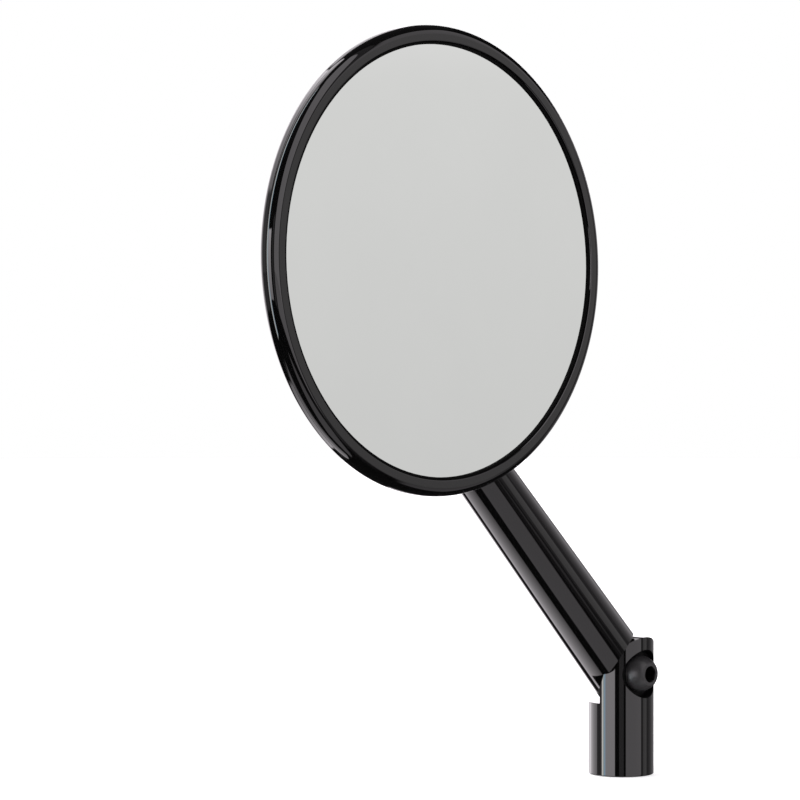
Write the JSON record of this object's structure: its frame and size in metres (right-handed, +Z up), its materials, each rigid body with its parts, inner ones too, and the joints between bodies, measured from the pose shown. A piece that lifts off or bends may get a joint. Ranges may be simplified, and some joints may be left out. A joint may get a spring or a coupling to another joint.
{
  "type": "arm mirror",
  "caption": "Round framed shaving mirror on a tapered arm, with a half-lap friction hinge on a threaded post and a ball joint behind the head.",
  "frame": {"origin": "centre of the post's flat foot, at the mouth of its threaded hole", "axes": "+Z up along the post, the mirror faces -Y, and the arm leans towards -X"},
  "size_m": [0.1934, 0.0526, 0.2145],
  "materials": {
    "black_lacquer": "gloss black anodised and lacquered",
    "black_screw": "satin black oxide",
    "plain_steel": "zinc plated",
    "polished_steel": "polished",
    "bronze": "sintered bronze",
    "friction_lining": "filled friction disc",
    "white_nylon": "natural nylon",
    "black_nylon": "black nylon",
    "plate": "mill finish",
    "foam": "closed-cell foam tape",
    "silvering": "silvered, painted behind",
    "glass": "clear float glass",
    "seal": "matt black"
  },
  "bodies": {
    "post": {"post": "black_lacquer", "pivot_bush": "bronze", "friction_disc": "friction_lining"},
    "arm": {"arm": "black_lacquer", "pivot_screw": "black_screw", "spring_washer": "plain_steel", "thrust_washer": "black_nylon", "pivot_nut": "plain_steel", "ball_stud": "polished_steel", "stud_nut": "black_screw"},
    "rear_seat": {"rear_seat": "white_nylon"},
    "front_seat": {"front_seat": "white_nylon"},
    "head": {"ball_socket": "black_lacquer", "socket_ring": "black_lacquer", "socket_screws": "black_screw", "back_shell": "black_lacquer", "backing_plate": "plate", "foam_pad": "foam", "silver_layer": "silvering", "mirror_glass": "glass", "glass_seal": "seal", "bezel_ring": "black_lacquer"}
  },
  "joints": [
    {"name": "arm_fold", "type": "hinge", "parent": "post", "child": "arm", "pos_m": [0, 0, 0.0311], "axis": [0, -1, 0], "range_deg": [-105, 15]},
    {"name": "head_spin", "type": "hinge", "parent": "arm", "child": "rear_seat", "pos_m": [-0.1207, -0.0256, 0.1518], "axis": [0, -1, 0], "continuous": true},
    {"name": "head_swivel", "type": "hinge", "parent": "rear_seat", "child": "front_seat", "pos_m": [-0.1207, -0.0256, 0.1518], "axis": [0, 0, 1], "range_deg": [-15, 15]},
    {"name": "head_tilt", "type": "hinge", "parent": "front_seat", "child": "head", "pos_m": [-0.1207, -0.0256, 0.1518], "axis": [1, 0, 0], "range_deg": [-15, 15]}
  ]
}
